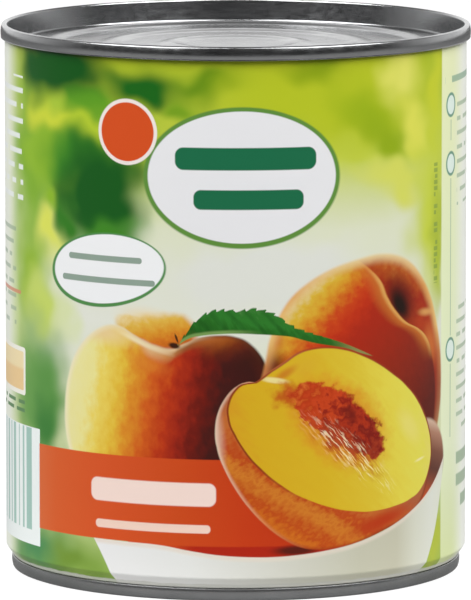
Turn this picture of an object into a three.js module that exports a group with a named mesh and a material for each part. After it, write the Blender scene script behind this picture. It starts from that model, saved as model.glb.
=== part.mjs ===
import * as THREE from 'three';

// A sealed round steel food can of the 850 ml size, upright on its foot seam.
// The printed body is swaged in at the foot, so that one can nests on the next.
// Both ends are double seamed on, and pressed with a countersink and expansion rings.

// Driving dimensions, in millimetres.
const CAN_HEIGHT = 118.9;
const BODY_DIAMETER = 100.2;
const TOP_SEAM_DIAMETER = 102;
const FOOT_SEAM_DIAMETER = 97.8;
const TOP_SEAM_HEIGHT = 3;
const FOOT_SEAM_HEIGHT = 2.7;
const SEAM_THICKNESS = 1.4;
const SEAM_ROUNDING = 0.5;

// The foot neck: how much narrower it is than the foot seam, and where its taper runs.
const NECK_INSET = 0.15;
const NECK_STRAIGHT = 0.3;
const NECK_TAPER_HEIGHT = 2.1;

// The pressed ends, measured down from the rim of the seam.
const COUNTERSINK_DEPTH = 4.9;
const RING_VALLEY_DEPTH = 4.5;
const RING_CREST_DEPTH = 3.9;
const CHUCK_WALL_DRAFT = 0.7;
const RING_CREST_RADII = [41, 27, 14];
const RING_CREST_WIDTH = 2.4;
const RING_SLOPE_WIDTH = 2.2;
const COUNTERSINK_SLOPE_WIDTH = 0.3;
const END_THICKNESS = 0.6;

// The end's chuck wall sits inside the body with this gap all round, and the panel inside it.
const BODY_WALL = 0.4;
const FITTING_GAP = 0.3;

// Facets.
const ROUND_STEPS = 60;
const ROUNDING_STEPS = 3;

const bodyRadius = BODY_DIAMETER / 2;
const neckRadius = FOOT_SEAM_DIAMETER / 2 - NECK_INSET;

const printedTinplate = new THREE.MeshStandardMaterial({
  color: 0xd8d49a, roughness: 0.35, metalness: 0,
});
const bareTinplate = new THREE.MeshStandardMaterial({
  color: 0xb4b6b8, roughness: 0.25, metalness: 1,
});

// A quarter circle of points about (r, z), from one angle to the other, in degrees.
function roundedCorner(r, z, radius, fromAngle, toAngle) {
  const points = [];
  for (let step = 0; step <= ROUNDING_STEPS; step += 1) {
    const angle = THREE.MathUtils.degToRad(
      THREE.MathUtils.lerp(fromAngle, toAngle, step / ROUNDING_STEPS));
    points.push([r + radius * Math.cos(angle), z + radius * Math.sin(angle)]);
  }
  return points;
}

// Turns a profile of [radius, height] points about the upright axis of the can.
function turned(name, profile, material) {
  const points = profile.map(([r, z]) => new THREE.Vector2(r, z));
  const geometry = new THREE.LatheGeometry(points, ROUND_STEPS);
  geometry.rotateX(Math.PI / 2);
  const mesh = new THREE.Mesh(geometry, material);
  mesh.name = name;
  return mesh;
}

// The body: the straight printed wall with its fill, a pocket at each end for the
// chuck wall and panel of the end, and the swaged neck above the foot seam.
function canBody() {
  const plugDepth = COUNTERSINK_DEPTH + END_THICKNESS;
  const footPocketRadius = neckRadius - BODY_WALL;
  const topPocketRadius = bodyRadius - BODY_WALL;
  const neckTop = FOOT_SEAM_HEIGHT + NECK_STRAIGHT;
  const wallTop = CAN_HEIGHT - TOP_SEAM_HEIGHT;
  return turned('can_body', [
    [0, plugDepth],
    [footPocketRadius, plugDepth],
    [footPocketRadius, FOOT_SEAM_HEIGHT],
    [neckRadius, FOOT_SEAM_HEIGHT],
    [neckRadius, neckTop],
    [bodyRadius, neckTop + NECK_TAPER_HEIGHT],
    [bodyRadius, wallTop],
    [topPocketRadius, wallTop],
    [topPocketRadius, CAN_HEIGHT - plugDepth],
    [0, CAN_HEIGHT - plugDepth],
  ], printedTinplate);
}

// One expansion ring of a pressed end, from its outer foot to its inner foot.
function expansionRing(crestRadius) {
  const halfCrest = RING_CREST_WIDTH / 2;
  const halfFoot = halfCrest + RING_SLOPE_WIDTH;
  return [
    [crestRadius + halfFoot, -RING_VALLEY_DEPTH],
    [crestRadius + halfCrest, -RING_CREST_DEPTH],
    [crestRadius - halfCrest, -RING_CREST_DEPTH],
    [crestRadius - halfFoot, -RING_VALLEY_DEPTH],
  ];
}

// The double seam of an end and the chuck wall that runs down inside it to the countersink,
// with the rim at height 0 and the can below it.
function seamProfile(seamDiameter, seamHeight, wallRadius) {
  const outer = seamDiameter / 2;
  const inner = outer - SEAM_THICKNESS;
  const chuckWallOuter = wallRadius - BODY_WALL - FITTING_GAP;
  const chuckWallFoot = inner - CHUCK_WALL_DRAFT;
  return [
    [chuckWallFoot, -COUNTERSINK_DEPTH - END_THICKNESS],
    [chuckWallOuter, -COUNTERSINK_DEPTH - END_THICKNESS],
    [chuckWallOuter, -seamHeight],
    [outer - SEAM_ROUNDING / 2, -seamHeight],
    [outer, -seamHeight + SEAM_ROUNDING],
    ...roundedCorner(outer - SEAM_ROUNDING, -SEAM_ROUNDING, SEAM_ROUNDING, 0, 90),
    ...roundedCorner(inner + SEAM_ROUNDING, -SEAM_ROUNDING, SEAM_ROUNDING, 90, 180),
    [chuckWallFoot, -COUNTERSINK_DEPTH],
    [chuckWallFoot, -COUNTERSINK_DEPTH - END_THICKNESS],
  ];
}

// The pressed panel of an end: its countersink floor, then its rings in to the middle.
function panelProfile(seamDiameter) {
  const edge = seamDiameter / 2 - SEAM_THICKNESS - CHUCK_WALL_DRAFT - FITTING_GAP;
  const rings = RING_CREST_RADII.flatMap(expansionRing);
  const outerRingFoot = rings[0][0];
  return [
    [0, -COUNTERSINK_DEPTH - END_THICKNESS],
    [edge, -COUNTERSINK_DEPTH - END_THICKNESS],
    [edge, -COUNTERSINK_DEPTH],
    [outerRingFoot + COUNTERSINK_SLOPE_WIDTH, -COUNTERSINK_DEPTH],
    ...rings,
    [0, -RING_VALLEY_DEPTH],
  ];
}

// The top end, with its profiles raised to the can's full height.
function topEnd() {
  const seam = seamProfile(TOP_SEAM_DIAMETER, TOP_SEAM_HEIGHT, bodyRadius);
  const panel = panelProfile(TOP_SEAM_DIAMETER);
  const raised = (profile) => profile.map(([r, z]) => [r, CAN_HEIGHT + z]);
  return [
    turned('top_seam', raised(seam), bareTinplate),
    turned('top_panel', raised(panel), bareTinplate),
  ];
}

// The bottom end is the same pressing turned over, so its profiles also run the other way.
function bottomEnd() {
  const seam = seamProfile(FOOT_SEAM_DIAMETER, FOOT_SEAM_HEIGHT, neckRadius);
  const panel = panelProfile(FOOT_SEAM_DIAMETER);
  const turnedOver = (profile) => profile.map(([r, z]) => [r, -z]).reverse();
  return [
    turned('foot_seam', turnedOver(seam), bareTinplate),
    turned('bottom_panel', turnedOver(panel), bareTinplate),
  ];
}

const can = new THREE.Group();
can.add(canBody(), ...topEnd(), ...bottomEnd());

export default can;
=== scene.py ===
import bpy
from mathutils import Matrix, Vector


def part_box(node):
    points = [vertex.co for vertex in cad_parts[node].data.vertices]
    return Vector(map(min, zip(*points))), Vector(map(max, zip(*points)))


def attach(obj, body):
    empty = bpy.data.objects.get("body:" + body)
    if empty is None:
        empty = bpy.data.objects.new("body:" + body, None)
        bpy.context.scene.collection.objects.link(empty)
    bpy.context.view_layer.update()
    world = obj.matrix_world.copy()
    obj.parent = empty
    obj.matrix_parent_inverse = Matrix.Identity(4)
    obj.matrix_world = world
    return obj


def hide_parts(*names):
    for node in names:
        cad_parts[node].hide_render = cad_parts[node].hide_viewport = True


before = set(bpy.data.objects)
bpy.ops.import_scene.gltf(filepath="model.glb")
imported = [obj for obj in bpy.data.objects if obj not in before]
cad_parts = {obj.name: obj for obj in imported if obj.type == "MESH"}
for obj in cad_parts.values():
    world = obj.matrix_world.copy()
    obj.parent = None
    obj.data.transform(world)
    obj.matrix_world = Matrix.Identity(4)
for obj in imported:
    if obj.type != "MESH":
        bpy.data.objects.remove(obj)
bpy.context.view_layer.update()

import copy
import math

import bpy
from mathutils import Vector

# A sealed steel food can of peaches, printed in colour on its body, with bare tinplate ends.
# Sizes are in millimetres until a mesh is made. On the print, across is measured round the
# body from the middle of the front, and up from SHEET_FOOT, just below the can's foot.

MM = 0.001
CAN_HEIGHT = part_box("top_seam")[1].z / MM
BODY_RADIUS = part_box("can_body")[1].x / MM
TOP_SEAM_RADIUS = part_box("top_seam")[1].x / MM
FOOT_SEAM_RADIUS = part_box("foot_seam")[1].x / MM
TOP_SEAM_HEIGHT = CAN_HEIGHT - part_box("can_body")[1].z / MM
FOOT_SEAM_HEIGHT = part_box("can_body")[0].z / MM
RIM_ON_SHEET = 119.5
SHEET_FOOT = CAN_HEIGHT - RIM_ON_SHEET

# The foot neck: how much narrower it is than the foot seam, and where its taper runs.
NECK_INSET = 0.15
NECK_STRAIGHT = 0.3
NECK_TAPER_HEIGHT = 2.1
BODY_WALL = 0.4
FITTING_GAP = 0.3

# The pressed ends, measured down from the rim. A ring has the radius of its crest and its rise.
SEAM_THICKNESS = 1.4
CHUCK_WALL_DRAFT = 0.55
COUNTERSINK_DEPTH = 4.9
COUNTERSINK_SLOPE_WIDTH = 1.6
RING_VALLEY_DEPTH = 4.5
RINGS = ((41, 0.6), (27, 0.4), (14, 0.35))
RING_HALF_WIDTH = 3.4
END_UNDERSIDE = 5.5

# One step round is one degree, which the print's tiles are counted in.
AROUND_STEPS = 360

# A curve node holds small values, so a line's places are divided by this and multiplied back.
CURVE_UNIT = 100


# ---------------------------------------------------------------- colour and nodes

def ink(code):
    """A linear colour from its sRGB hex value."""
    channels = [int(code[i:i + 2], 16) / 255 for i in (1, 3, 5)]
    linear = [c / 12.92 if c <= 0.04045 else ((c + 0.055) / 1.055) ** 2.4 for c in channels]
    return (*linear, 1.0)


def add(tree, kind, inputs=(), out=0, stops=None, points=None, **settings):
    """Adds one node with its settings, fills or links its inputs, and gives one output."""
    node = tree.nodes.new(kind)
    for name, value in settings.items():
        setattr(node, name, value)
    if stops:
        ramp = node.color_ramp
        for position, code in stops[1:-1]:
            ramp.elements.new(position).color = ink(code)
        for element, (position, code) in ((ramp.elements[0], stops[0]), (ramp.elements[-1], stops[-1])):
            element.position = position
            element.color = ink(code)
    if points:
        curve = node.mapping.curves[0]
        node.mapping.use_clip = False
        curve.points[0].location = points[0]
        curve.points[1].location = points[-1]
        for point in points[1:-1]:
            curve.points.new(*point)
        node.mapping.update()
    pairs = inputs.items() if isinstance(inputs, dict) else enumerate(inputs)
    for key, value in pairs:
        if isinstance(value, bpy.types.NodeSocket):
            tree.links.new(value, node.inputs[key])
        elif value is not None:
            node.inputs[key].default_value = value
    return node.outputs[out]


# ---------------------------------------------------------------- the print's shapes
# A mask is 1 inside its shape and 0 outside, with an edge as soft as asked.

class Print:
    """One tile of the flat sheet as it is printed, with across and up in millimetres. A shape
    that doesn't reach the tile gives no mask, so that each tile's material stays small."""

    def __init__(self, tree, low, high):
        self.tree = tree
        self.low = low
        self.high = high
        place = add(tree, "ShaderNodeTexCoord", out="Object")
        x, y, z = add(tree, "ShaderNodeSeparateXYZ", (place,)).node.outputs
        front = add(tree, "ShaderNodeMath", (y, -1), operation="MULTIPLY")
        turn = add(tree, "ShaderNodeMath", (x, front), operation="ARCTAN2")
        self.across = add(tree, "ShaderNodeMath", (turn, BODY_RADIUS), operation="MULTIPLY")
        self.up = add(tree, "ShaderNodeMath", (z, 1 / MM, -SHEET_FOOT), operation="MULTIPLY_ADD")
        self.place = add(tree, "ShaderNodeCombineXYZ", (self.across, self.up))

    def reaches(self, low, high):
        """Whether a shape between these corners shows on this tile."""
        return all(a < d and c < b for a, b, c, d in zip(low, high, self.low, self.high))

    def distance(self, x, y):
        """How far each place is from where both of its parts are 0."""
        reach = add(self.tree, "ShaderNodeMath", (x, x), operation="MULTIPLY")
        reach = add(self.tree, "ShaderNodeMath", (y, y, reach), operation="MULTIPLY_ADD")
        return add(self.tree, "ShaderNodeMath", (reach,), operation="SQRT")

    def oval(self, middle, size, tilt=0, soft=0.05):
        """An oval of a width and height. A soft of 1 fades it from its middle to its edge."""
        angle = math.radians(tilt)
        half_wide = math.hypot(size[0] * math.cos(angle), size[1] * math.sin(angle)) / 2
        half_high = math.hypot(size[0] * math.sin(angle), size[1] * math.cos(angle)) / 2
        if not self.reaches((middle[0] - half_wide, middle[1] - half_high),
                            (middle[0] + half_wide, middle[1] + half_high)):
            return None
        wide = (2 * math.cos(angle) / size[0], 2 * math.sin(angle) / size[0], 0)
        high = (-2 * math.sin(angle) / size[1], 2 * math.cos(angle) / size[1], 0)
        place = add(self.tree, "ShaderNodeVectorMath", (self.place, (*middle, 0)), operation="SUBTRACT")
        x = add(self.tree, "ShaderNodeVectorMath", (place, wide), "Value", operation="DOT_PRODUCT")
        y = add(self.tree, "ShaderNodeVectorMath", (place, high), "Value", operation="DOT_PRODUCT")
        return add(self.tree, "ShaderNodeMapRange", (self.distance(x, y), 1, 1 - soft, 0, 1),
                   interpolation_type="SMOOTHSTEP")

    def plate(self, low, high, corner=0.3, soft=0.15):
        """A plate with rounded corners, between its low and high corners."""
        if not self.reaches([a - soft for a in low], [b + soft for b in high]):
            return None
        middle = [(a + b) / 2 for a, b in zip(low, high)]
        core = [(b - a) / 2 - corner for a, b in zip(low, high)]
        place = add(self.tree, "ShaderNodeVectorMath", (self.place, (*middle, 0)), operation="SUBTRACT")
        place = add(self.tree, "ShaderNodeVectorMath", (place,), operation="ABSOLUTE")
        place = add(self.tree, "ShaderNodeVectorMath", (place, (*core, 0)), operation="SUBTRACT")
        place = add(self.tree, "ShaderNodeVectorMath", (place, (0, 0, 0)), operation="MAXIMUM")
        reach = add(self.tree, "ShaderNodeVectorMath", (place,), "Value", operation="LENGTH")
        return add(self.tree, "ShaderNodeMapRange", (reach, corner + soft / 2, corner - soft / 2, 0, 1),
                   interpolation_type="SMOOTHSTEP")

    def depth(self, middle, points):
        """How deep each place lies inside a closed smooth outline through a few points, found from
        the outline's distance from its middle by direction."""
        polar = sorted(
            (math.atan2(y - middle[1], x - middle[0]) / math.tau, math.dist((x, y), middle))
            for x, y in points)
        (last_turn, last), (first_turn, first) = polar[-1], polar[0]
        share = (0.5 - last_turn) / (first_turn + 1 - last_turn)
        seam = last + (first - last) * share
        furthest = max(reach for _, reach in polar)
        if not self.reaches([place - furthest - 1 for place in middle],
                            [place + furthest + 1 for place in middle]):
            return None
        curve = [(-0.5, seam), *polar, (0.5, seam)]
        curve = [(turn + 0.5, reach / furthest) for turn, reach in curve]
        x = add(self.tree, "ShaderNodeMath", (self.across, middle[0]), operation="SUBTRACT")
        y = add(self.tree, "ShaderNodeMath", (self.up, middle[1]), operation="SUBTRACT")
        turn = add(self.tree, "ShaderNodeMath", (y, x), operation="ARCTAN2")
        turn = add(self.tree, "ShaderNodeMapRange", (turn, -math.pi, math.pi, 0, 1))
        edge = add(self.tree, "ShaderNodeFloatCurve", {"Value": turn}, points=curve)
        reach = add(self.tree, "ShaderNodeMath", (self.distance(x, y), -1), operation="MULTIPLY")
        return add(self.tree, "ShaderNodeMath", (edge, furthest, reach), operation="MULTIPLY_ADD")

    def line(self, along, points):
        """A smooth line through a few points: its place at each step along across or up."""
        low, high = points[0][0], points[-1][0]
        curve = [((a - low) / (high - low), b / CURVE_UNIT) for a, b in points]
        step = add(self.tree, "ShaderNodeMapRange", (along, low, high, 0, 1))
        height = add(self.tree, "ShaderNodeFloatCurve", {"Value": step}, points=curve)
        return add(self.tree, "ShaderNodeMath", (height, CURVE_UNIT), operation="MULTIPLY")

    def beyond(self, field, edge, soft=0.2):
        """Where a field is past an edge, which is a number or a line."""
        if field is None:
            return None
        past = add(self.tree, "ShaderNodeMath", (field, edge), operation="SUBTRACT")
        return add(self.tree, "ShaderNodeMapRange", (past, -soft / 2, soft / 2, 0, 1),
                   interpolation_type="SMOOTHSTEP")

    def before(self, field, edge, soft=0.2):
        """Where a field is short of an edge, which is a number or a line."""
        return None if field is None else self.beyond(edge, field, soft)

    def both(self, *masks):
        """Where all of the masks are."""
        if None in masks:
            return None
        whole = masks[0]
        for mask in masks[1:]:
            whole = add(self.tree, "ShaderNodeMath", (whole, mask), operation="MULTIPLY")
        return whole

    def wavered(self, reach, grain, detail=3):
        """The same tile with its places pushed about unevenly, which makes ragged edges."""
        push = add(self.tree, "ShaderNodeTexNoise", {
            "Vector": self.place, "Scale": 1 / grain, "Detail": detail}, "Color")
        push = add(self.tree, "ShaderNodeVectorMath", (push, (0.5, 0.5, 0.5)), operation="SUBTRACT")
        moved = copy.copy(self)
        moved.low = [place - reach / 2 for place in self.low]
        moved.high = [place + reach / 2 for place in self.high]
        moved.place = add(self.tree, "ShaderNodeVectorMath", (push, (reach, reach, 0), self.place),
                          operation="MULTIPLY_ADD")
        moved.across, moved.up, _ = add(self.tree, "ShaderNodeSeparateXYZ", (moved.place,)).node.outputs
        return moved

    def mottle(self, grain, detail=3, stretch=(1, 1), tilt=0):
        """Even speckle of a grain in millimetres, stretched and tilted if asked."""
        place = add(self.tree, "ShaderNodeMapping", {
            "Vector": self.place, "Rotation": (0, 0, math.radians(tilt)),
            "Scale": (grain * stretch[0], grain * stretch[1], 1),
        }, vector_type="TEXTURE")
        return add(self.tree, "ShaderNodeTexNoise", {"Vector": place, "Scale": 1, "Detail": detail})

    def lay(self, ground, colour, mask, strength=1):
        """Prints a colour over what is there, where the mask is."""
        if mask is None:
            return ground
        if strength != 1:
            mask = add(self.tree, "ShaderNodeMath", (mask, strength), operation="MULTIPLY")
        ground, colour = [ink(part) if isinstance(part, str) else part for part in (ground, colour)]
        # Sockets 6, 7 and 2 of a mix node are its two colours and the colour that it gives.
        return add(self.tree, "ShaderNodeMix", {0: mask, 6: ground, 7: colour}, out=2, data_type="RGBA")

    def blend(self, slope, low, high, stops, waver=0, grain=2, stretch=(1, 1), tilt=0):
        """Colours that pass from one to the next along a slope of (across, up) parts. A waver
        in millimetres breaks them up in speckle."""
        field = add(self.tree, "ShaderNodeVectorMath", (self.place, (*slope, 0)), "Value",
                    operation="DOT_PRODUCT")
        if waver:
            speckle = self.mottle(grain, 5, stretch, tilt)
            speckle = add(self.tree, "ShaderNodeMath", (speckle, 0.5), operation="SUBTRACT")
            field = add(self.tree, "ShaderNodeMath", (speckle, waver, field), operation="MULTIPLY_ADD")
        field = add(self.tree, "ShaderNodeMapRange", (field, low, high, 0, 1))
        stops = [((place - low) / (high - low), code) for place, code in stops]
        return add(self.tree, "ShaderNodeValToRGB", (field,), stops=stops)


# ---------------------------------------------------------------- the print's pictures

def orchard(sheet):
    """The out-of-focus leaves and light behind the fruit, in soft uneven blots."""
    ground = sheet.blend((0, 1), 4, 118, [
        (4, "#8DB04A"), (30, "#D5DDA8"), (60, "#E3E5D9"), (80, "#DEE2C6"), (95, "#C3CF48"),
        (118, "#A9BC22")], waver=4, grain=12)
    blots = (
        ((-62, 60), (36, 150), 0, 0.9, "#C4D68A"),
        ((-54, 92), (26, 76), 0, 0.9, "#86B430"),
        ((-38, 94), (62, 50), 0, 0.8, "#7DAC2C"),
        ((-54, 68), (22, 36), 0, 0.9, "#94BA34"),
        ((-48, 62), (24, 22), 0, 0.9, "#C6D868"),
        ((-46, 78), (17, 18), 0, 0.9, "#DCE25E"),
        ((-50, 94), (20, 18), 0, 0.8, "#93BC2C"),
        ((-46, 102.5), (26, 12), -12, 0.8, "#CBD63C"),
        ((-34, 101), (24, 10), 8, 0.8, "#B4CB32"),
        ((-36, 106), (34, 9), 0, 0.8, "#5E9C22"),
        ((-45, 105), (10, 8), 0, 0.8, "#A9C63A"),
        ((-36, 94), (38, 17), 0, 0.8, "#3D8822"),
        ((-31, 88), (31, 29), 0, 0.6, "#15581A"),
        ((-29, 79), (26, 10), 0, 0.8, "#3F8623"),
        ((-40, 81), (9, 17), 0, 0.9, "#337A20"),
        ((-45, 85), (12, 9), 0, 0.9, "#8DB82A"),
        ((-43, 113), (44, 18), 0, 0.6, "#115417"),
        ((-20, 111), (24, 14), 0, 0.8, "#196417"),
        ((-12, 107), (13, 8), 0, 0.9, "#76A01F"),
        ((-6, 112), (24, 10), 0, 0.9, "#568710"),
        ((22, 110), (70, 34), 0, 0.6, "#B7C425"),
        ((18, 114), (20, 11), 0, 0.9, "#8FA614"),
        ((39, 111), (18, 18), 0, 0.9, "#DFDF66"),
        ((30, 104), (32, 15), -20, 0.9, "#9BB318"),
        ((35, 98), (22, 12), -35, 0.9, "#92AC16"),
        ((44, 100), (12, 20), 20, 0.9, "#DEDE58"),
        ((51, 106), (10, 40), 0, 0.8, "#C6CE2C"),
        ((38, 90), (30, 12), -10, 0.9, "#D6DA60"),
        ((50, 80), (24, 60), 0, 0.9, "#C6D242"),
        ((52.5, 74), (9, 44), 0, 0.9, "#AFBF3A"),
        ((8, 70), (66, 22), 0, 0.6, "#E1E3DA"),
        ((-52, 42), (32, 44), 0, 0.8, "#6AA04E"),
        ((-47, 42), (20, 38), 0, 0.9, "#5C9546"),
        ((-47, 37), (18, 17), 0, 0.9, "#3F8038"),
        ((-41, 60), (12, 16), 0, 0.9, "#D9E2AE"),
        ((-52, 9), (40, 18), 0, 0.9, "#4F8E56"),
        ((-38, 8), (24, 14), 0, 0.9, "#739536"),
        ((52, 10), (14, 26), 0, 0.8, "#B4C044"),
    )
    uneven = sheet.wavered(11, 10, detail=1)
    for middle, size, tilt, soft, colour in blots:
        ground = sheet.lay(ground, colour, uneven.oval(middle, size, tilt, soft))
    return ground


def left_peach(sheet, ground):
    """The whole peach at the left: cream at its left edge, through yellow and red to maroon."""
    if not sheet.reaches((-43, 19), (10, 66)):
        return ground
    ground = sheet.lay(ground, "#EAD3A2", sheet.oval((-19, 60.5), (20, 8), -6, 0.9), 0.8)
    lobe = sheet.beyond(sheet.wavered(1.2, 3).depth((-16, 58.5), [
        (-27, 60.2), (-22, 61.8), (-16, 62.6), (-10, 61.9), (-8, 58), (-9, 55), (-14, 54),
        (-19, 55), (-23, 57)]), 0.4, 2.2)
    ground = sheet.lay(ground, sheet.blend((-0.25, 1), 56, 68, [
        (56, "#8A4412"), (58.5, "#BC5C16"), (60.5, "#D1721C"), (62.5, "#D9952A"), (65, "#DFB448"),
        (68, "#E9D6A2")], waver=4, grain=1.6), lobe)
    edge = sheet.depth((-18, 42), [
        (-39.4, 31), (-40.8, 36), (-40.9, 41), (-40.2, 46), (-38.6, 50.5), (-36, 54.4), (-32.6, 57.4),
        (-29, 59.1), (-26, 59.2), (-22, 57.3), (-18, 55.6), (-14.5, 54.8), (-11.5, 55.9), (-8, 57.4),
        (-4, 58), (0, 57.7), (3, 56.3), (6.2, 52.3), (8, 45), (8, 25), (-18, 20), (-36, 25)])
    skin = sheet.blend((1, -0.2), -48, 2, [
        (-48, "#EBE4A2"), (-43, "#EBE294"), (-39.5, "#EAD260"), (-35.5, "#E3BC3C"), (-32, "#DB9026"),
        (-27.5, "#CF5C19"), (-23.5, "#B93611"), (-20, "#9A2410"), (-16.5, "#6E180D"), (-12, "#421612"),
        (2, "#2E130E")], waver=7, grain=2.2, stretch=(0.85, 1.25))
    skin = sheet.lay(skin, "#E9CD92", sheet.oval((-31, 58), (24, 8), -10, 0.9))
    skin = sheet.lay(skin, "#D77A2A", sheet.oval((-19, 51.5), (15, 5), -14, 0.9), 0.5)
    lip = sheet.both(sheet.beyond(sheet.across, -20, 4), sheet.before(edge, 2.6, 2.6))
    skin = sheet.lay(skin, sheet.blend((1, 0), -20, 2, [
        (-20, "#E2BB88"), (-15, "#CC8C50"), (-11, "#955A30"), (-6, "#9A4D18"),
        (2, "#4A190F")], waver=1), lip)
    skin = sheet.lay(skin, "#F0E4BC", sheet.oval((-20.3, 56), (17, 2.4), -20, 0.9))
    ruddy = sheet.blend((1, -1.5), -91, -68, [
        (-91, "#B9682E"), (-87, "#9E5017"), (-84, "#762E10"), (-80, "#521C12"), (-76, "#39180F"),
        (-68, "#2D130E")], waver=3, grain=1.5)
    skin = sheet.lay(skin, ruddy, sheet.oval((-1, 58), (30, 16), -24, 1))
    # The down on the skin catches the light along its left and upper edges.
    down = sheet.blend((1, 0), -42, 6, [
        (-42, "#EFE9C4"), (-30, "#EBDCB4"), (-12, "#DFC094"), (-4, "#8A4A24"), (6, "#3A1810")])
    skin = sheet.lay(down, skin, sheet.beyond(edge, 0.8, 1.8))
    ground = sheet.lay(ground, skin, sheet.beyond(edge, 0, 0.8))
    ground = sheet.lay(ground, "#3A1B0A", sheet.oval((-13.2, 55.6), (3.4, 1.7), -10, 0.6))
    return sheet.lay(ground, "#4A2A10", sheet.oval((-12.7, 57.2), (0.7, 2.8), 20, 0.6))


def right_peach(sheet, ground):
    """The whole peach behind: yellow shoulder, red cheek, and a deep cleft at its stem end."""
    if not sheet.reaches((4, 24), (56, 76)):
        return ground
    edge = sheet.depth((32, 48), [
        (6.3, 52.3), (7.2, 57), (9, 61.5), (12, 66), (16, 69.2), (21, 71.7), (27, 73.3), (33, 74.1),
        (38, 73.4), (42, 71.6), (46, 68), (49.5, 63.2), (52, 57.5), (53.7, 51), (54.1, 45),
        (53.6, 39), (51.5, 33.5), (45, 28), (20, 25), (5, 40)])
    skin = sheet.blend((1, -1), -53, 8, [
        (-53, "#E4D39C"), (-48.5, "#DAB338"), (-45, "#D79A28"), (-42, "#D0701C"), (-39, "#C94316"),
        (-35, "#BF3213"), (-30, "#AB2913"), (-20, "#9D2913"), (-9, "#8A2714"), (8, "#5E1C10")],
        waver=8, grain=1.8)
    skin = sheet.lay(skin, "#5E170A", sheet.oval((7, 51), (12, 10), 30, 0.9))
    skin = sheet.lay(skin, "#C8662A", sheet.oval((8.5, 57), (6, 9), 0, 0.9), 0.8)
    cleft = sheet.line(sheet.up, [
        (30, 50.8), (38, 51.2), (44, 51.4), (50, 50.2), (54.5, 48), (56.8, 45), (58.6, 41), (61, 38),
        (64.5, 35.2), (68, 33.4), (70.5, 31), (74, 26)])
    lobe = sheet.blend((0.35, 1), 52, 88, [
        (52, "#8A3018"), (60, "#8C2A16"), (68, "#9E3016"), (74, "#B03C18"), (79, "#A02A12"),
        (83, "#B4521C"), (88, "#CF8C40")], waver=7, grain=1.8)
    lobe = sheet.lay(lobe, "#C86A30", sheet.oval((49.5, 53), (7, 13), 12, 0.9))
    lobe = sheet.lay(lobe, "#E0A860", sheet.oval((47.6, 60.2), (8, 2.6), -4, 0.9), 0.8)
    lobe = sheet.lay(lobe, "#E2AC68", sheet.oval((43, 70.6), (9, 3), -38, 0.9), 0.7)
    lobe = sheet.lay(lobe, "#5A1A10", sheet.oval((39.2, 63.8), (18, 11), -56, 0.9))
    lobe = sheet.lay(lobe, "#22120C", sheet.oval((38.8, 62.6), (11, 6), -56, 0.8))
    skin = sheet.lay(skin, lobe, sheet.beyond(sheet.across, cleft, 0.8))
    span = sheet.both(sheet.before(sheet.across, cleft, 0.8), sheet.beyond(sheet.up, 52, 6),
                      sheet.before(sheet.up, 71, 6))
    flank = add(sheet.tree, "ShaderNodeMath", (cleft, 3), operation="SUBTRACT")
    skin = sheet.lay(skin, "#C8722C", sheet.both(sheet.beyond(sheet.across, flank, 5), span), 0.85)
    ridge = add(sheet.tree, "ShaderNodeMath", (cleft, 0.9), operation="SUBTRACT")
    skin = sheet.lay(skin, "#E2B060", sheet.both(sheet.beyond(sheet.across, ridge, 1.6), span), 0.8)
    glow = sheet.blend((0, 1), 30, 74, [
        (30, "#B58A5C"), (44, "#A86440"), (51, "#C98048"), (57, "#EBC47A"), (66, "#E2A860"),
        (74, "#E6D2A0")])
    skin = sheet.lay(glow, skin, sheet.beyond(edge, 1.3, 3))
    return sheet.lay(ground, skin, sheet.beyond(edge, 0, 0.9))


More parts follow.
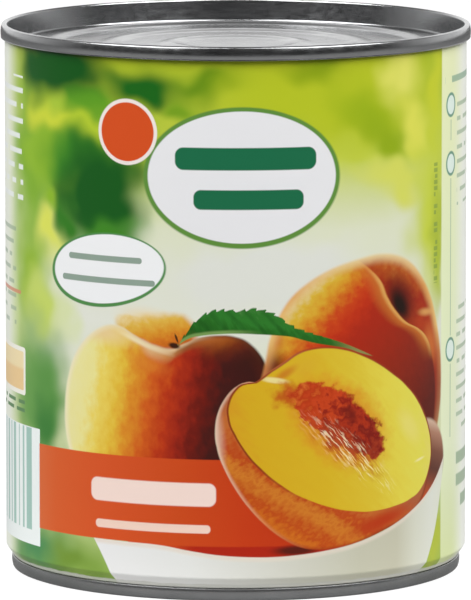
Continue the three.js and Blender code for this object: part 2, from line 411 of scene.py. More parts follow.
def leaf(sheet, ground):
    """The saw-edged leaf that lies from the left stem over both fruits."""
    if not sheet.reaches((-13, 51), (32, 66)):
        return ground
    tooth_pitch = 2.1
    vein_half_pitch = 1.9
    teeth = add(sheet.tree, "ShaderNodeMath", (sheet.wavered(3, 3).across, tooth_pitch),
                operation="FLOORED_MODULO")
    toothed = sheet.before(sheet.across, 17, 12)
    teeth = add(sheet.tree, "ShaderNodeMath", (teeth, toothed), operation="MULTIPLY")
    upper = sheet.line(sheet.across, [
        (-12.3, 55.9), (-10.5, 58.6), (-8.8, 60.8), (-6.5, 62.6), (-4.3, 63.4), (1, 63.4), (4, 63.7),
        (8, 62.7), (10.5, 61), (13, 59.5), (16, 58.5), (20, 57.3), (24, 55.9), (28, 54.2), (31, 52.8)])
    upper = add(sheet.tree, "ShaderNodeMath", (teeth, 0.3, upper), operation="MULTIPLY_ADD")
    upper = add(sheet.tree, "ShaderNodeMath", (upper, 0.4), operation="SUBTRACT")
    lower = sheet.line(sheet.across, [
        (-12.3, 55.7), (-10, 57.2), (-7, 57.9), (-3, 58.3), (1, 58.4), (5, 58.2), (9, 57.9), (12, 57.5),
        (15, 56.6), (18, 55.8), (21, 55.2), (25, 54.3), (28, 53.2), (31, 52.3)])
    shape = sheet.both(sheet.before(sheet.up, upper, 0.3), sheet.beyond(sheet.up, lower, 0.3),
                       sheet.beyond(sheet.across, -12.4, 0.3), sheet.before(sheet.across, 31, 1))
    green = sheet.blend((0.15, 1), 54, 65, [
        (54, "#4E6A20"), (57.5, "#1F5E1A"), (59.5, "#25681E"), (61.5, "#2E7A29"), (63, "#2C7526"),
        (65, "#4A8040")], waver=7, grain=1.6, stretch=(0.6, 1.8), tilt=35)
    green = sheet.lay(green, "#8C8C50", sheet.beyond(sheet.across, 24, 8))
    veins = add(sheet.tree, "ShaderNodeMath", (sheet.up, 0.9, sheet.across), operation="MULTIPLY_ADD")
    veins = add(sheet.tree, "ShaderNodeMath", (veins, vein_half_pitch), operation="PINGPONG")
    veins = sheet.both(sheet.beyond(veins, 1.3, 1), sheet.before(sheet.across, 14, 6))
    green = sheet.lay(green, "#144A14", veins, 0.35)
    underside = add(sheet.tree, "ShaderNodeMath", (lower, 0.7), operation="ADD")
    underside = sheet.both(sheet.before(sheet.up, underside, 0.6), sheet.before(sheet.across, 2, 10))
    green = sheet.lay(green, "#7FA35A", underside, 0.8)
    return sheet.lay(ground, green, shape)


def peach_half(sheet, ground):
    """The cut half in front: flesh, the red hollow of the stone and the downy skin below it."""
    if not sheet.reaches((-6, 10), (52, 57)):
        return ground
    edge = sheet.depth((22, 34), [
        (-4.4, 37), (-3.9, 41), (-2.2, 44.6), (0.2, 47.1), (3, 48.1), (4.6, 48.1), (7.5, 50.4),
        (10.5, 52.3), (13.5, 54.2), (17, 55), (21, 55), (25, 54.2), (30, 52.2), (35, 49.4), (40, 46),
        (44, 42.6), (47, 38.8), (49, 35), (50, 31), (49.8, 27.5), (48.5, 24), (46.5, 20), (40, 16),
        (31, 13.3), (25, 11.8), (19, 11.4), (14, 12.2), (9.5, 14.6), (5, 18.5), (1, 23.4),
        (-2, 28.5), (-3.8, 33)])
    skin = sheet.blend((0.5, 0.86), 8, 38, [
        (8, "#A82E10"), (14, "#C4480F"), (18, "#D0701A"), (21, "#BE4A12"), (25, "#D07C26"),
        (28, "#BC4614"), (32, "#C46A2C"), (38, "#AE603A")],
        waver=8, grain=1.2, stretch=(0.8, 1.4), tilt=-60)
    skin = sheet.lay(skin, "#B83A12", sheet.oval((34, 16.5), (26, 6), 14, 0.9))
    skin = sheet.lay(skin, "#DDBBA4", sheet.oval((-5, 37), (6.5, 27), 6, 0.9))
    down = sheet.blend((1, 0), -4, 50, [
        (-4, "#E4C8B0"), (6, "#D88A58"), (16, "#A83A14"), (50, "#7A2A14")])
    skin = sheet.lay(down, skin, sheet.beyond(edge, 0.4, 1.2))
    ground = sheet.lay(ground, skin, sheet.beyond(edge, 0, 0.4))
    face = sheet.depth((24, 36), [
        (0.2, 46.2), (2.8, 47.6), (4.6, 47.8), (7.7, 50.0), (10.7, 51.9), (13.7, 53.8), (17, 54.6),
        (21, 54.6), (25, 53.8), (30, 51.8), (35, 49), (40, 45.6), (43.7, 42.3), (46.6, 38.6),
        (48.6, 35), (49.6, 31), (49.4, 27.6), (48.2, 24.7), (46, 22.1), (42, 20.2), (36, 19.1),
        (30, 18.8), (24, 19.6), (18, 21.4), (12, 24.2), (7, 27.9), (3, 32), (0.2, 36.3),
        (-1.3, 40.2), (-1.2, 43.6)])
    # A thin red line of skin shows along the cut at the left.
    ground = sheet.lay(ground, "#8E3A14", sheet.both(sheet.beyond(face, -0.45, 0.3),
                                                     sheet.before(sheet.across, 10, 16)))
    flesh = sheet.blend((1, 0.2), 5, 58, [
        (5, "#D59C20"), (12, "#D7AC1E"), (26, "#D9B423"), (36, "#DCC034"), (44, "#E3D24A"),
        (52, "#E3DA56"), (58, "#E4D66C")], waver=10, grain=3, stretch=(0.5, 2), tilt=50)
    flesh = sheet.lay(flesh, "#D9B02A", sheet.oval((15, 51), (12, 7), 25, 0.9))
    flesh = sheet.lay(flesh, "#C97420", sheet.oval((10.5, 49.6), (9, 3), 32, 0.9), 0.8)
    flesh = sheet.lay(flesh, "#EDDD92", sheet.oval((8.3, 48.3), (8, 1.7), -8, 0.6))
    flesh = sheet.lay(flesh, "#E8DC78", sheet.oval((42, 36), (14, 7), -50, 0.9), 0.7)
    flesh = sheet.lay(flesh, "#F2EAB0", sheet.oval((45.5, 28.5), (5, 0.9), 12, 0.9), 0.8)
    ragged = sheet.wavered(4.5, 1.9)
    flesh = sheet.lay(flesh, "#D98A20", ragged.oval((23, 38.6), (33, 21), -35, 0.5), 0.8)
    flesh = sheet.lay(flesh, "#C05A14", ragged.oval((11.5, 45), (10, 8), 0, 0.8))
    pit = sheet.beyond(ragged.depth((23, 39), [
        (11.3, 45.6), (13, 47), (15.5, 47.6), (18.5, 47.1), (22, 46), (25.5, 43.8), (28.5, 41.4),
        (31.5, 38.8), (33, 36.2), (34.4, 33), (33.5, 30.8), (30.5, 30.6), (27, 31.6), (23, 33.2),
        (19, 35.8), (15.6, 38.4), (13.4, 41.6), (12.2, 44)]), 0, 1.3)
    hollow = sheet.blend((0.75, -0.66), -24, 6, [
        (-24, "#D8702A"), (-18, "#B83810"), (-13, "#C8441A"), (-9, "#8E1E10"), (-5, "#B03416"),
        (-1, "#7C1810"), (6, "#A83A1C")], waver=24, grain=1.7)
    hollow = sheet.lay(hollow, "#701A10", ragged.oval((25.5, 40), (7, 4.5), -40, 0.8), 0.8)
    flesh = sheet.lay(flesh, hollow, pit)
    # Torn threads of flesh fringe the lower side of the hollow.
    threads = sheet.wavered(1.4, 4)
    fringe = ragged.oval((24.5, 33), (31, 8), -36, 0.9)
    strands = threads.mottle(1.1, stretch=(3.6, 0.42), tilt=-48)
    flesh = sheet.lay(flesh, "#B4481E", sheet.both(sheet.before(strands, 0.48, 0.1), fringe))
    flesh = sheet.lay(flesh, "#F2DCB4", sheet.both(sheet.beyond(strands, 0.56, 0.08), fringe))
    stray = threads.oval((30, 27.5), (26, 7), -34, 0.9)
    flesh = sheet.lay(flesh, "#F0E6A0", sheet.both(sheet.beyond(strands, 0.6, 0.08), stray), 0.8)
    return sheet.lay(ground, flesh, sheet.beyond(face, 0, 0.35))


def bowl(sheet, ground):
    """The white bowl that the fruit stands in."""
    if not sheet.reaches((37, 17), (57, 49)):
        return ground
    inside = sheet.oval((47.6, 28), (16.4, 19), 0, 0.1)
    shade = sheet.blend((0.3, 1), 34, 52, [
        (34, "#C4501E"), (38, "#8A4630"), (41, "#5E3529"), (45, "#7E4E3C"), (49, "#B08068"),
        (52, "#DCC0A8")])
    return sheet.lay(ground, shade, inside)


def bowl_front(sheet, ground):
    """The front of the bowl, below its rim."""
    if not sheet.reaches((-35, 3), (57, 30)):
        return ground
    rim = sheet.line(sheet.across, [
        (-34, 12.9), (-24, 12.8), (-16, 12.5), (-10, 11.6), (-4, 10.8), (2, 10.4), (8, 10.3),
        (14, 10.6), (20, 11.2), (26, 12.1), (32, 13.6), (38, 15.6), (43, 17.8), (48, 20.6),
        (52, 23.8), (56, 28.5)])
    left_side = sheet.line(sheet.up, [(4, -27.4), (9, -30.1), (13.5, -33)])
    right_side = sheet.line(sheet.up, [
        (4, 47), (10, 50.4), (15, 52.4), (20, 53.8), (24, 54.8), (29, 55.6)])
    shape = sheet.both(sheet.before(sheet.up, rim, 0.3), sheet.beyond(sheet.across, left_side, 0.3),
                       sheet.before(sheet.across, right_side, 0.4))
    china = sheet.blend((1, 0), -34, 56, [
        (-34, "#EAEAEA"), (-10, "#E3E4E0"), (10, "#D2D2C6"), (28, "#C5C4AF"), (38, "#C6C4AE"),
        (44, "#D8D9C8"), (50, "#E0E2D6"), (56, "#E2E4D2")])
    edge = add(sheet.tree, "ShaderNodeMath", (rim, 0.9), operation="SUBTRACT")
    china = sheet.lay(china, "#E6D8C8", sheet.beyond(sheet.up, edge, 0.9), 0.7)
    return sheet.lay(ground, china, shape)


def name_band(sheet, ground):
    """The orange band, with plain pale bars where a pack has its words."""
    if not sheet.reaches((-51, 8), (25, 32)):
        return ground
    low = add(sheet.tree, "ShaderNodeMapRange", (sheet.across, -24, -20, 12.9, 9))
    shape = sheet.both(sheet.beyond(sheet.up, low, 0.25), sheet.before(sheet.up, 31.3, 0.25),
                       sheet.beyond(sheet.across, -50.2, 0.5), sheet.before(sheet.across, 24))
    paint = sheet.blend((1, 0), -50, 12, [
        (-50, "#DA6A38"), (-44, "#D95F2B"), (-30, "#D65526"), (-12, "#CB4A19"), (2, "#C53C12"),
        (12, "#BE350F")])
    paint = sheet.lay(paint, "#AE240E", sheet.both(sheet.before(sheet.up, 12.6, 0.5),
                                                   sheet.beyond(sheet.across, -12, 8)))
    paint = sheet.lay(paint, "#5A190D", sheet.oval((13, 11.6), (14, 3), 0, 0.7))
    ground = sheet.lay(ground, paint, shape)
    ground = sheet.lay(ground, "#F6DDD2", sheet.plate((-33.2, 21.2), (-4.2, 26.2), 1.6, 0.4))
    return sheet.lay(ground, "#F3D3C2", sheet.plate((-32, 15.4), (-5.4, 17.2), 0.8, 0.3))


def words(sheet, ground, colour, low, high, pitch, weight, strength=1):
    """Rows of plain bars of uneven length, in the place of small print."""
    field = sheet.plate(low, high, 0.1, 0.1)
    if field is None:
        return ground
    bar_foot = 0.2
    cell_length = 2.6 * weight
    shift_per_row = 0.37
    rows_apart = 61.7
    bare_share = 0.2
    row = add(sheet.tree, "ShaderNodeMath", (sheet.up, 1 / pitch), operation="MULTIPLY")
    number = add(sheet.tree, "ShaderNodeMath", (row,), operation="FLOOR")
    within = add(sheet.tree, "ShaderNodeMath", (row,), operation="FRACT")
    bar = sheet.both(sheet.beyond(within, bar_foot, 0.1),
                     sheet.before(within, bar_foot + weight / pitch, 0.1))
    cell = add(sheet.tree, "ShaderNodeMath", (sheet.across, 1 / cell_length), operation="MULTIPLY")
    cell = add(sheet.tree, "ShaderNodeMath", (number, shift_per_row, cell), operation="MULTIPLY_ADD")
    cell = add(sheet.tree, "ShaderNodeMath", (cell,), operation="FLOOR")
    # Each row takes its cells from another stretch of the noise, so no two rows are alike.
    cell = add(sheet.tree, "ShaderNodeMath", (number, rows_apart, cell), operation="MULTIPLY_ADD")
    chance = add(sheet.tree, "ShaderNodeTexWhiteNoise", {"W": cell}, noise_dimensions="1D")
    bar = sheet.both(bar, sheet.beyond(chance, bare_share, 0.02), field)
    return sheet.lay(ground, colour, bar, strength)


def side_panels(sheet, ground):
    """The pale panels at the sides and back, with plain bars, rings and boxes. Toward the sides their
    print is laid lighter, as painted light and a painted sheen.
    """
    # The left panel's pale print is laid lighter than its ink, as painted light that makes up for the
    # shade where the body turns away from the lamps.
    ground = sheet.lay(ground, "#F3F7E9", sheet.before(sheet.across, -64.5, 12))
    ground = words(sheet, ground, "#F1F6F3", (-118, 83), (-57.5, 110), 3.3, 1.1, 0.9)
    ground = sheet.lay(ground, "#D98468", sheet.plate((-96, 62.6), (-59, 63.4), 0.3), 0.8)
    ground = sheet.lay(ground, "#F8F6EA", sheet.plate((-96, 40.8), (-56.6, 51.2), 0.8))
    box = sheet.plate((-95, 41.8), (-57.6, 50.2), 0.4)
    ground = sheet.lay(ground, "#F0CE96", box)
    ground = sheet.lay(ground, "#F6E6B8", sheet.both(box, sheet.beyond(sheet.up, 46.5, 1)), 0.8)
    ground = words(sheet, ground, "#5F8A5A", (-96, 36.4), (-57, 39.8), 1.75, 0.8)
    ground = words(sheet, ground, "#8FA98E", (-130, 55), (-62, 78), 2.9, 0.9, 0.6)
    ground = sheet.lay(ground, "#F2F8F6", sheet.plate((-80, 8.8), (-50, 34.4), 0.2))
    # The code panel's plain upright bars stand for no number.
    for place, width in ((-54.9, 2.6), (-57.8, 0.9), (-60.3, 0.5), (-63.4, 1.7), (-66, 0.8),
                         (-68.9, 1.4), (-72, 0.6), (-74.3, 1.3)):
        bar = sheet.plate((place - width / 2, 12), (place + width / 2, 34.2), 0.05)
        ground = sheet.lay(ground, "#9DC4B8", bar)
    pale = sheet.blend((0, 1), 4, 118, [
        (4, "#D8E2A8"), (30, "#E8F0CC"), (70, "#E8F1C4"), (118, "#ECF1C0")])
    # Past 65 mm the pale panel fades to near white. This is partly the panel's print and partly a
    # painted sheen where the body turns away to the side.
    pale = sheet.lay(pale, "#FBFDF4", sheet.beyond(sheet.across, 65, 12))
    ground = sheet.lay(ground, pale, sheet.beyond(sheet.across, 54.1, 0.5))
    for height in (103.7, 91, 50.6):
        ground = sheet.lay(ground, "#6F9C86", sheet.oval((59, height), (5.7, 5.7), 0, 0.12))
        ground = sheet.lay(ground, "#E4F2E8", sheet.oval((59, height), (4.4, 4.4), 0, 0.12))
    for low, high in ((96, 100.5), (53.6, 87.8), (31.5, 47.5)):
        ground = sheet.lay(ground, "#A9C0A2", sheet.plate((58.8, low), (59.2, high), 0.1))
    ground = words(sheet, ground, "#A9BFA0", (63, 81.5), (112, 105), 3.1, 0.9, 0.8)
    ground = words(sheet, ground, "#A9BFA0", (63, 32), (112, 60), 2.9, 0.9, 0.8)
    ground = words(sheet, ground, "#93AE8C", (63, 13.5), (80, 28), 4.8, 2.6, 0.8)
    ground = words(sheet, ground, "#8CB095", (55.8, 107.6), (80, 110), 2.4, 1.4, 0.8)
    return words(sheet, ground, "#7E9A46", (50.7, 66), (52.2, 92), 1.3, 0.9, 0.7)


def plates(sheet, ground):
    """The claim oval, the name plate and a round dot, all left plain but for bars."""
    ground = sheet.lay(ground, "#4F8A4A", sheet.oval((-30, 70.9), (30.6, 16.2), 6, 0.03))
    ground = sheet.lay(ground, "#F2F3F4", sheet.oval((-29.8, 71.1), (29.2, 15), 6, 0.03))
    ground = sheet.lay(ground, "#8FA294", sheet.plate((-39.5, 72.7), (-20.5, 74), 0.6))
    ground = sheet.lay(ground, "#8FA294", sheet.plate((-41.5, 68), (-17.5, 69.3), 0.6))
    ground = sheet.lay(ground, "#5F8E3C", sheet.oval((1.4, 91.6), (43.6, 30.6), 0, 0.03))
    ground = sheet.lay(ground, "#E9E9EB", sheet.oval((1.4, 91.7), (41.4, 28.4), 0, 0.02))
    ground = sheet.lay(ground, "#1B6B47", sheet.plate((-13, 93.2), (17.4, 98), 1.8, 0.3))
    ground = sheet.lay(ground, "#1B6B47", sheet.plate((-9, 84.8), (14.6, 89), 1.6, 0.3))
    ground = sheet.lay(ground, "#F1E6DF", sheet.oval((-24, 100.8), (14.4, 14.4), 0, 0.04))
    return sheet.lay(ground, "#D4501F", sheet.oval((-24, 100.8), (12.8, 12.8), 0, 0.04))


def bare_margins(sheet, ground):
    """The edges that carry no ink: above the foot seam, and beside the side weld at the back. The foot
    margin's grey is laid lighter, as painted light against the shade on the downward taper.
    """
    foot_margin = sheet.before(sheet.wavered(0.6, 3).up, 4.3, 0.4)
    # The real bare margin, its grey lightened as painted light to offset the shade that falls on the
    # taper under it.
    ground = sheet.lay(ground, "#CFCFC7", foot_margin, 0.85)
    if not (sheet.reaches((153, 0), (158, 120)) or sheet.reaches((-158, 0), (-153, 120))):
        return ground
    # The weld runs up the back, 157.4 mm round from the front, as fine overlapping nuggets.
    margin_edge = 153.4
    weld_edge = 156.7
    nugget_edge = 156.8
    nugget_half_pitch = 0.6
    round_back = add(sheet.tree, "ShaderNodeMath", (sheet.across,), operation="ABSOLUTE")
    ground = sheet.lay(ground, "#B6B7B0", sheet.beyond(round_back, margin_edge, 0.15))
    ground = sheet.lay(ground, "#8C8D8A", sheet.beyond(round_back, weld_edge, 0.1))
    nuggets = add(sheet.tree, "ShaderNodeMath", (sheet.up, nugget_half_pitch), operation="PINGPONG")
    nuggets = sheet.both(sheet.beyond(nuggets, 0.35, 0.2), sheet.beyond(round_back, nugget_edge, 0.1))
    return sheet.lay(ground, "#A6A7A4", nuggets)


# ---------------------------------------------------------------- materials

def printed_tinplate(name, low, high):
    """Tinplate printed in offset inks and roller coated with varnish: bright colour under a thin
    satin gloss that is very slightly rippled, as the rollers leave it."""
    material = bpy.data.materials.new("litho_printed_varnished_tinplate_" + name)
    material.use_nodes = True
    tree = material.node_tree
    shader = tree.nodes["Principled BSDF"]
    sheet = Print(tree, low, high)
    art = orchard(sheet)
    for picture in (side_panels, plates, left_peach, right_peach, bowl, name_band, peach_half,
                    bowl_front, leaf, bare_margins):
        art = picture(sheet, art)
    tree.links.new(art, shader.inputs["Base Color"])
    shader.inputs["Roughness"].default_value = 0.35
    shader.inputs["Specular IOR Level"].default_value = 0.2
    ripple_width = 6
    ripple_depth = 0.06
    ripple = add(tree, "ShaderNodeTexNoise", {
        "Vector": sheet.place, "Scale": 1 / ripple_width, "Detail": 1})
    ripple = add(tree, "ShaderNodeBump", {
        "Height": ripple, "Distance": ripple_depth * MM, "Strength": 0.6})
    tree.links.new(ripple, shader.inputs["Normal"])
    return material


def bare_tinplate():
    """Bright tinplate as it comes off the rolls: cool grey metal with a slightly clouded tone,
    whose shine is softened a little in straight lines along the rolling direction."""
    material = bpy.data.materials.new("bright_rolled_tinplate")
    material.use_nodes = True
    tree = material.node_tree
    shader = tree.nodes["Principled BSDF"]
    shader.inputs["Metallic"].default_value = 1.0
    # The lines of a real sheet are finer than 0.1 mm, and are drawn at 0.8 mm so that they show.
    line_width = 0.8
    along_the_roll = (0.15, 1, 1)
    cloud_width = 11
    place = add(tree, "ShaderNodeTexCoord", out="Object")
    rolled = add(tree, "ShaderNodeVectorMath", (place, along_the_roll), operation="MULTIPLY")
    grit = add(tree, "ShaderNodeTexNoise", {
        "Vector": rolled, "Scale": 1 / (line_width * MM), "Detail": 4})
    cloud = add(tree, "ShaderNodeTexNoise", {
        "Vector": place, "Scale": 1 / (cloud_width * MM), "Detail": 2})
    tone = add(tree, "ShaderNodeValToRGB", (cloud,), stops=[(0.3, "#A6A7A8"), (0.7, "#B2B3B4")])
    tree.links.new(tone, shader.inputs["Base Color"])
    rough = add(tree, "ShaderNodeMapRange", (grit, 0.3, 0.7, 0.19, 0.27))
    tree.links.new(rough, shader.inputs["Roughness"])
    return material


# ---------------------------------------------------------------- meshes

def arc(middle, radius, start, end, steps):
    """Points along part of a circle, with angles in degrees."""
    points = []
    for step in range(steps + 1):
        angle = math.radians(start + (end - start) * step / steps)
        points.append((middle[0] + radius * math.cos(angle), middle[1] + radius * math.sin(angle)))
    return points


def turned(name, profile, materials, tile_of=None):
    """A closed solid turned about the can's axis from a profile that starts and ends on it. A
    tile_of gives the material's number by the turn and the height."""
    ring_points = profile[1:-1]
    vertices = [(0, 0, profile[0][1] * MM), (0, 0, profile[-1][1] * MM)]
    for r, z in ring_points:
        for step in range(AROUND_STEPS):
            angle = math.tau * step / AROUND_STEPS
            vertices.append((r * MM * math.sin(angle), -r * MM * math.cos(angle), z * MM))
    faces = []
    tiles = []
    last_ring = 2 + (len(ring_points) - 1) * AROUND_STEPS
    for step in range(AROUND_STEPS):
        after = (step + 1) % AROUND_STEPS
        faces.append((0, 2 + after, 2 + step))
        faces.append((1, last_ring + step, last_ring + after))
        tiles += [0, 0]
        for ring in range(len(ring_points) - 1):
            low = 2 + ring * AROUND_STEPS
            high = low + AROUND_STEPS
            faces.append((low + step, low + after, high + after, high + step))
            height = (ring_points[ring][1] + ring_points[ring + 1][1]) / 2
            tiles.append(tile_of(step + 0.5, height) if tile_of else 0)
    mesh = bpy.data.meshes.new(name)
    mesh.from_pydata(vertices, [], faces)
    mesh.polygons.foreach_set("use_smooth", [True] * len(mesh.polygons))
    mesh.polygons.foreach_set("material_index", tiles)
    for material in materials:
        mesh.materials.append(material)
    piece = bpy.data.objects.new(name, mesh)
    bpy.context.scene.collection.objects.link(piece)
    mesh.validate()
    return piece


def print_tiles():
    """The tiles of the print. Each has a name, and its lowest and highest place in degrees
    round and millimetres up."""
    tiles = [("left_panel", (-180, 0), (-64, 120)), ("right_panel", (62, 0), (180, 120))]
    for side, start, end in (("left", -64, -20), ("middle", -20, 22), ("right", 22, 62)):
        for level, foot, top in (("low", 0, 34), ("mid", 34, 63), ("high", 63, 120)):
            tiles.append((f"{side}_{level}", (start, foot), (end, top)))
    return tiles


def body_profile(cuts):
    """The body from its hidden bottom up: the neck, its taper and the straight wall."""
    neck_radius = FOOT_SEAM_RADIUS - NECK_INSET
    neck_inner = neck_radius - BODY_WALL
    wall_inner = BODY_RADIUS - BODY_WALL
    taper_low = FOOT_SEAM_HEIGHT + NECK_STRAIGHT
    taper_high = taper_low + NECK_TAPER_HEIGHT
    wall_top = CAN_HEIGHT - TOP_SEAM_HEIGHT
    fill_top = CAN_HEIGHT - END_UNDERSIDE
    profile = [(0, END_UNDERSIDE), (neck_inner, END_UNDERSIDE), (neck_inner, FOOT_SEAM_HEIGHT)]
    # The taper is mostly straight, with its two bends a little eased.
    straight = 0.7
    steps = 10
    for step in range(steps + 1):
        share = step / steps
        ease = straight * share + (1 - straight) * share * share * (3 - 2 * share)
        profile.append((neck_radius + (BODY_RADIUS - neck_radius) * ease,
                        taper_low + (taper_high - taper_low) * share))
    # A ring close to each end of the wall keeps its smooth shading from bending there.
    above_taper = 0.3
    below_seam = 0.4
    wall = [taper_high + above_taper, *cuts, wall_top - below_seam, wall_top]
    profile += [(BODY_RADIUS, height) for height in wall]
    profile += [(wall_inner, wall_top), (wall_inner, fill_top), (0, fill_top)]
    return profile


def panel_height(radius):
    """The pressed panel's height below the rim at a distance from the axis."""
    height = -RING_VALLEY_DEPTH
    for crest, rise in RINGS:
        off = abs(radius - crest) / RING_HALF_WIDTH
        if off < 1:
            height += rise * (0.5 + 0.5 * math.cos(math.pi * off))
    return height


def end_profile(seam_radius, seam_height, wall_radius):
    """A seamed end, rim at height 0 and the can below it, from its underside to its middle."""
    seam_foot = -seam_height
    seam_inner = seam_radius - SEAM_THICKNESS
    plug_radius = wall_radius - (BODY_WALL + FITTING_GAP)
    overlap = 0.05
    profile = [(0, -END_UNDERSIDE), (plug_radius, -END_UNDERSIDE), (plug_radius, seam_foot + overlap)]
    # The hem of the seam turns in sharply under it, and its wall is crowned up to a tight corner.
    hem_corner, hem_inset, hem_angle = 0.12, 0.16, 10
    rim_corner, rim_angle = 0.3, 16
    crown_foot = 0.15
    crowned = seam_height - 0.5
    profile += arc((seam_radius - hem_inset, seam_foot + hem_corner), hem_corner, -90, -hem_angle, 3)
    lean = math.sin(math.radians(hem_angle)) + math.sin(math.radians(rim_angle))
    crown = crowned / lean
    crown_height = seam_foot + crown_foot + crown * math.sin(math.radians(hem_angle))
    wall = arc((seam_radius - crown, crown_height), crown, -hem_angle, rim_angle, 14)
    profile += wall
    corner_middle = (wall[-1][0] - rim_corner * math.cos(math.radians(rim_angle)),
                     wall[-1][1] - rim_corner * math.sin(math.radians(rim_angle)))
    profile += arc(corner_middle, rim_corner, rim_angle + 8, 84, 6)
    # The rim is a shallow dome that turns down into the countersink.
    inner_corner = 0.45
    dome_width, dome_fall = 0.15, 0.01
    profile.append((seam_inner + inner_corner + dome_width, -dome_fall))
    profile += arc((seam_inner + inner_corner, -inner_corner), inner_corner, 90, 180, 8)
    floor_corner = 0.6
    floor_edge = seam_inner - CHUCK_WALL_DRAFT - floor_corner
    profile += arc((floor_edge, -COUNTERSINK_DEPTH + floor_corner), floor_corner, 0, -90, 6)
    # The countersink's floor rises to the panel, which runs in over its rings to the middle.
    panel_edge = RINGS[0][0] + RING_HALF_WIDTH
    slope_steps = 8
    for step in range(slope_steps + 1):
        share = step / slope_steps
        ease = share * share * (3 - 2 * share)
        profile.append((panel_edge + COUNTERSINK_SLOPE_WIDTH * (1 - share),
                        -COUNTERSINK_DEPTH + (COUNTERSINK_DEPTH - RING_VALLEY_DEPTH) * ease))
    panel_step, innermost = 0.4, 0.5
    radius = panel_edge - panel_step
    while radius > innermost:
        profile.append((radius, panel_height(radius)))
        radius -= panel_step
    profile.append((0, panel_height(0)))
    return profile


def make_can():
    """The three pieces of the can."""
    tiles = print_tiles()
    degree = math.radians(1) * BODY_RADIUS
    inks = [printed_tinplate(name, (low[0] * degree, low[1]), (high[0] * degree, high[1]))
            for name, low, high in tiles]

    def tile_of(turn, height):
        """The number of the tile that a place on the body lies on."""
        turn = turn if turn < 180 else turn - 360
        up = height - SHEET_FOOT
        for index, (_, low, high) in enumerate(tiles):
            if low[0] <= turn <= high[0] and low[1] <= up <= high[1]:
                return index
        return 0

    cuts = sorted({high[1] + SHEET_FOOT for _, _, high in tiles if high[1] < RIM_ON_SHEET})
    bare = bare_tinplate()
    body = turned("printed_body", body_profile(cuts), inks, tile_of)
    top_profile = end_profile(TOP_SEAM_RADIUS, TOP_SEAM_HEIGHT, BODY_RADIUS)
    top = turned("top_end_finished", [(r, CAN_HEIGHT + z) for r, z in top_profile], [bare])
    foot_profile = end_profile(FOOT_SEAM_RADIUS, FOOT_SEAM_HEIGHT, FOOT_SEAM_RADIUS - NECK_INSET)
    foot = turned("bottom_end_finished", [(r, -z) for r, z in reversed(foot_profile)], [bare])
    for piece in (body, top, foot):
        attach(piece, "root")
    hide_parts("can_body")
    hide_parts("top_seam", "top_panel")
    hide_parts("foot_seam", "bottom_panel")


# ---------------------------------------------------------------- studio

def camera():
    """A long lens 1.8 m in front of the can and a little above it, looking slightly down."""
    aside, away, height = -0.00004, 1.7798, 0.3042
    looks_down = 7.873
    lens = bpy.data.cameras.new("studio_camera")
    lens.sensor_fit = "VERTICAL"
    lens.sensor_height = 24
    lens.lens = 329.9
    lens.clip_end = 50
    view = bpy.data.objects.new("studio_camera", lens)
    view.location = (aside, -away, height)
    view.rotation_euler = (math.radians(90 - looks_down), 0, 0)
    bpy.context.scene.collection.objects.link(view)
    bpy.context.scene.camera = view


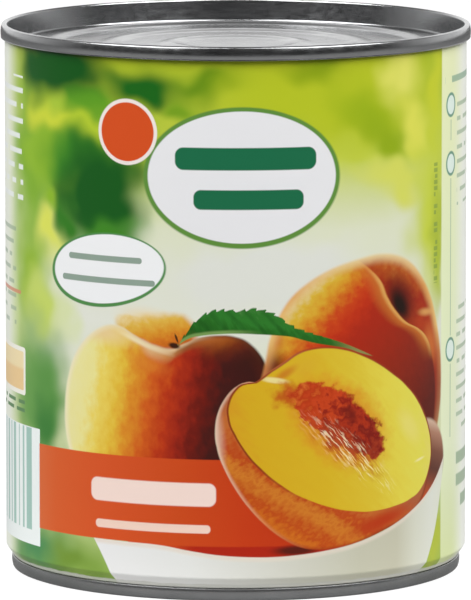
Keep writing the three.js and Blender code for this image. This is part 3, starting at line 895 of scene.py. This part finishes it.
def pale_floor():
    """A matt card that runs from in front of the can to well behind it."""
    near, far, side = -0.9, 6, 4
    seen_glow = 0.82
    print_glow, body_foot, print_reach = 0.65, 50, 72
    mesh = bpy.data.meshes.new("card")
    corners = [(-side, near, 0), (side, near, 0), (side, far, 0), (-side, far, 0)]
    mesh.from_pydata(corners, [], [(0, 1, 2, 3)])
    paper = bpy.data.materials.new("matt_card")
    paper.use_nodes = True
    tree = paper.node_tree
    shader = tree.nodes["Principled BSDF"]
    shader.inputs["Base Color"].default_value = ink("#7C7C7C")
    shader.inputs["Roughness"].default_value = 0.9
    shader.inputs["Emission Color"].default_value = ink("#FFFFFF")
    # The card shows pale and lights the print just above it, but throws little light at bare metal.
    rays = add(tree, "ShaderNodeLightPath").node.outputs
    place = add(tree, "ShaderNodeTexCoord", out="Object")
    away = add(tree, "ShaderNodeVectorMath", (place,), "Value", operation="LENGTH")
    close = add(tree, "ShaderNodeMapRange", (away, body_foot * MM, print_reach * MM, print_glow, 0))
    bounce = add(tree, "ShaderNodeMath", (rays["Is Diffuse Ray"], close), operation="MULTIPLY")
    glow = add(tree, "ShaderNodeMath", (rays["Is Camera Ray"], seen_glow, bounce),
               operation="MULTIPLY_ADD")
    tree.links.new(glow, shader.inputs["Emission Strength"])
    mesh.materials.append(paper)
    card = bpy.data.objects.new("card", mesh)
    bpy.context.scene.collection.objects.link(card)


def soft_boxes():
    """Two soft boxes high at the left and right, aimed at the middle of the can."""
    turn, rise, away = math.radians(57), math.radians(50), 1.8
    middle = Vector((0, 0, 0.06))
    for side, name in ((-1, "soft_box_left"), (1, "soft_box_right")):
        lamp = bpy.data.lights.new(name, "AREA")
        lamp.shape = "RECTANGLE"
        lamp.size, lamp.size_y = 1.6, 1.4
        lamp.energy = 42
        box = bpy.data.objects.new(name, lamp)
        way = Vector((side * math.sin(turn) * math.cos(rise),
                      -math.cos(turn) * math.cos(rise), math.sin(rise)))
        box.location = middle + way * away
        box.rotation_euler = way.to_track_quat("Z", "Y").to_euler()
        bpy.context.scene.collection.objects.link(box)


def walls():
    """Walls that look white, but light the can as dark in front, pale behind and dim overhead."""
    front, back, dark, pale = -0.2, 0.9, 0.02, 1.15
    brow, crown, overhead = 0.3, 0.6, 0.15
    world = bpy.data.worlds.new("studio_walls")
    world.use_nodes = True
    tree = world.node_tree
    way = add(tree, "ShaderNodeTexCoord", out="Generated")
    _, y, z = add(tree, "ShaderNodeSeparateXYZ", (way,)).node.outputs
    wall = add(tree, "ShaderNodeMapRange", (y, front, back, dark, pale))
    high = add(tree, "ShaderNodeMapRange", (z, brow, crown, 1, overhead),
               interpolation_type="SMOOTHSTEP")
    wall = add(tree, "ShaderNodeMath", (wall, high), operation="MULTIPLY")
    seen = add(tree, "ShaderNodeLightPath", out="Is Camera Ray")
    wall = add(tree, "ShaderNodeMath", (wall, seen), operation="MAXIMUM")
    tree.links.new(wall, tree.nodes["Background"].inputs["Color"])
    bpy.context.scene.world = world
    bpy.context.scene.view_settings.view_transform = "Standard"


camera()
make_can()
pale_floor()
soft_boxes()
walls()
